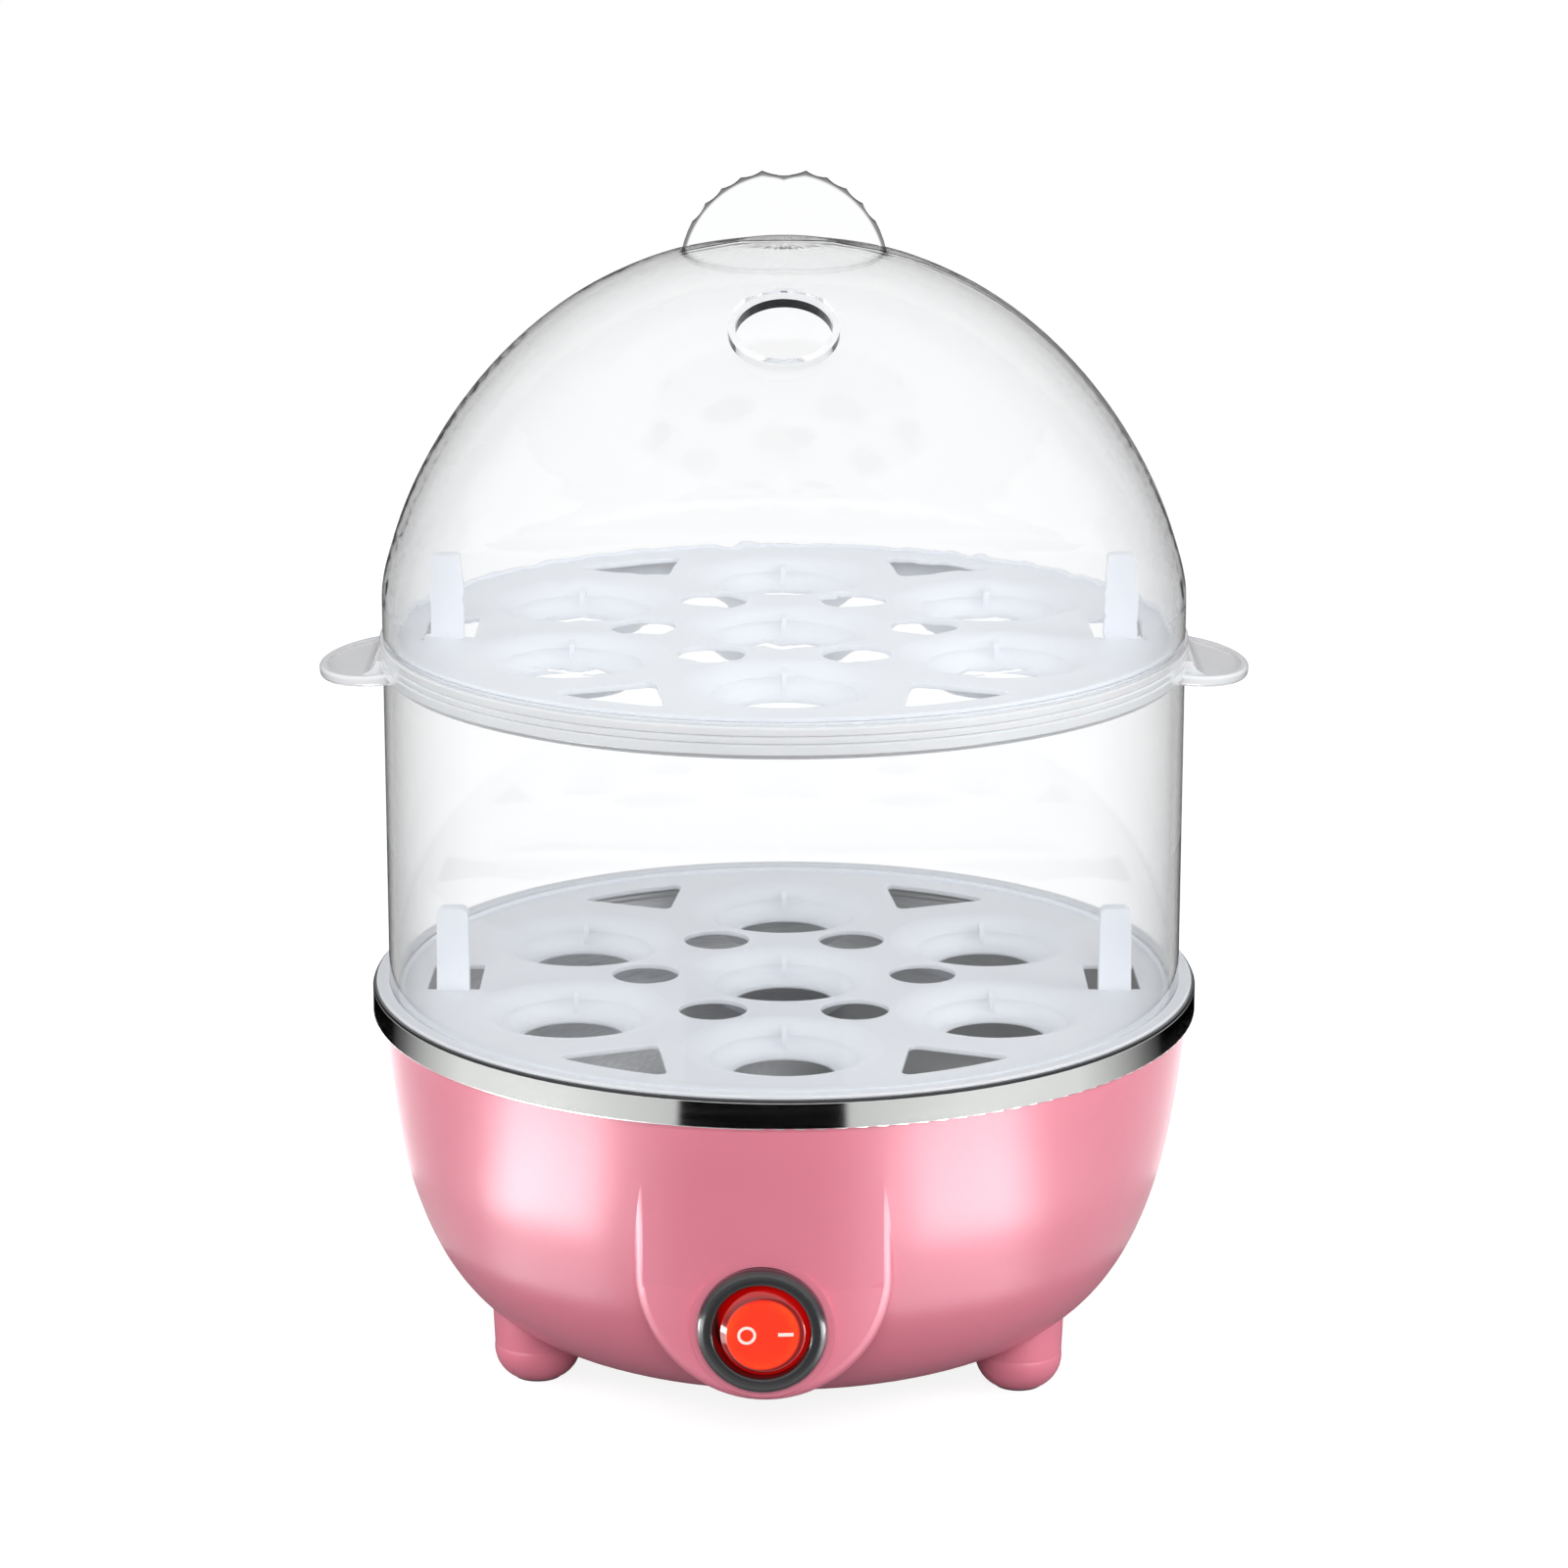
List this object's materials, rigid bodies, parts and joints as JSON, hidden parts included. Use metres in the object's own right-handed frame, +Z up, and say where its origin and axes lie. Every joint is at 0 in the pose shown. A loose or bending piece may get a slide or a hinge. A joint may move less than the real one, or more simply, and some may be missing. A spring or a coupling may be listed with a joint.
{
  "type": "egg cooker",
  "caption": "Electric egg steamer with a heated water pan in a round base, stacked perforated egg trays, a clear ring with side ears and a clear domed lid with a finger tab.",
  "frame": {"origin": "on the surface that the foot pads stand on, on the axis of the stacked vessels", "axes": "+Z up through the stack, the switch faces -Y, the side ears point to +X and -X"},
  "size_m": [0.1768, 0.1588, 0.23],
  "materials": {
    "clear_plastic": "clear moulded polystyrene, polished",
    "milky_plastic": "milky white moulded polypropylene, satin",
    "collar_plastic": "pale translucent moulded plastic, glossy",
    "pink_plastic": "pink moulded polypropylene, glossy",
    "pink_cover": "pink moulded polypropylene, fine spark-eroded texture",
    "polished_steel": "polished stainless steel",
    "black_bead": "black silicone, glossy",
    "pan_steel": "stainless steel, brushed in straight lines",
    "zinc_steel": "bright zinc-plated steel",
    "galvanised_steel": "galvanised sheet, dull",
    "cast_aluminium": "as cast, dull",
    "element_sheath": "drawn tube, dull",
    "ceramic": "unglazed ceramic, off-white",
    "brass_contacts": "bright",
    "brown_bakelite": "moulded phenolic, dull",
    "fibre_sleeve": "braided glass-fibre sleeve",
    "silicone_seal": "translucent silicone rubber",
    "foot_rubber": "dark rubber, matt",
    "black_plastic": "black nylon, glossy",
    "red_lens": "translucent red, glossy, lit from behind",
    "white_mark": "white fill of the signs",
    "neon_lamp": "small neon lamp",
    "black_rubber": "black moulded rubber",
    "nylon_block": "natural nylon",
    "clear_sleeve": "soft clear terminal sleeve",
    "wire_live": "brown wire insulation",
    "wire_neutral": "blue wire insulation",
    "wire_earth": "green and yellow wire insulation"
  },
  "bodies": {
    "base": {"housing": "pink_plastic", "trim_band": "polished_steel", "rim_bead": "black_bead", "pan_seal": "silicone_seal", "heating_pan": "pan_steel", "heat_spreader": "cast_aluminium", "heater_tube": "element_sheath", "heater_end_beads": "ceramic", "heater_pins": "zinc_steel", "heat_shield": "galvanised_steel", "pan_studs": "zinc_steel", "stud_spacers": "zinc_steel", "stud_nuts": "zinc_steel", "shield_nuts": "zinc_steel", "housing_screws": "zinc_steel", "foot_pads": "foot_rubber", "bottom_cover": "pink_cover", "cover_screws": "zinc_steel", "thermostat_cap": "cast_aluminium", "thermostat_body": "brown_bakelite", "thermostat_bracket": "galvanised_steel", "thermostat_screws": "zinc_steel", "thermostat_blades": "brass_contacts", "thermal_fuse": "fibre_sleeve", "fuse_clip": "galvanised_steel", "switch_body": "black_plastic", "switch_lamp": "neon_lamp", "switch_blades": "brass_contacts", "cord_bushing": "black_rubber", "terminal_block": "nylon_block", "terminal_screws": "zinc_steel", "earth_tag": "brass_contacts", "spade_connectors": "clear_sleeve", "live_wires": "wire_live", "neutral_wires": "wire_neutral", "earth_wire": "wire_earth"},
    "rocker": {"rocker": "red_lens", "rocker_marks": "white_mark"},
    "lower_tray": {"lower_egg_tray": "milky_plastic"},
    "steam_ring": {"steam_ring": "clear_plastic", "ring_collar": "collar_plastic"},
    "upper_tray": {"upper_egg_tray": "milky_plastic"},
    "lid": {"lid": "clear_plastic"}
  },
  "joints": [
    {"name": "rocker_tilt", "type": "hinge", "parent": "base", "child": "rocker", "pos_m": [0, -0.0715, 0.0297], "axis": [0, 0, -1], "range_deg": [0, 14]},
    {"name": "lower_tray_lift", "type": "slide", "parent": "base", "child": "lower_tray", "axis": [0, 0, 1], "range_m": [0, 0.06]},
    {"name": "ring_lift", "type": "slide", "parent": "lower_tray", "child": "steam_ring", "axis": [0, 0, 1], "range_m": [0, 0.09]},
    {"name": "upper_tray_lift", "type": "slide", "parent": "steam_ring", "child": "upper_tray", "axis": [0, 0, 1], "range_m": [0, 0.06]},
    {"name": "lid_lift", "type": "slide", "parent": "upper_tray", "child": "lid", "axis": [0, 0, 1], "range_m": [0, 0.1]}
  ]
}
